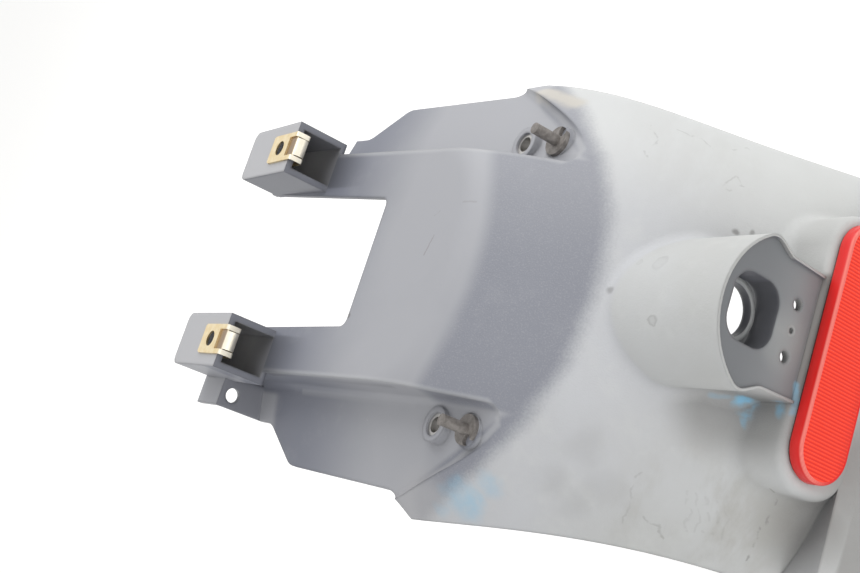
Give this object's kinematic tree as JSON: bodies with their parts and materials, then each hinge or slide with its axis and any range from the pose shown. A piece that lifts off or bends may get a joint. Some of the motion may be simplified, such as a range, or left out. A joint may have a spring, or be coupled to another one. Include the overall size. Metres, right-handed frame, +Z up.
{
  "type": "scooter rear mudguard",
  "caption": "Arched plastic rear mudguard for a scooter, with front mounting arms, stepped side channels, a hooded lamp recess, a red bar reflector and a plate panel.",
  "frame": {"origin": "midway between the two front clip-nut holes, on the plane of the two box tops", "axes": "+X to the rear of the scooter, +Y to its right, +Z up, square to the box tops"},
  "size_m": [0.312, 0.1976, 0.2633],
  "materials": {
    "guard_plastic": "moulded dark blue-grey, sun-bleached to pale grey towards the rear",
    "clip_steel": "yellow zinc-plated spring steel",
    "collar_steel": "turned steel, dulled",
    "peg_metal": "dark brown-grey, dull",
    "reflector_base": "moulded black",
    "reflector_red": "clear red moulding with fine prism ribs",
    "fixing_steel": "zinc-plated"
  },
  "bodies": {
    "root": {"mudguard": "guard_plastic", "clip_nut_left": "clip_steel", "clip_nut_right": "clip_steel", "mount_collar_left": "collar_steel", "mount_collar_right": "collar_steel", "locating_peg_left": "peg_metal", "locating_peg_right": "peg_metal", "reflector_back": "reflector_base", "reflector_lens": "reflector_red", "reflector_studs": "fixing_steel", "reflector_nuts": "fixing_steel"}
  },
  "joints": []
}
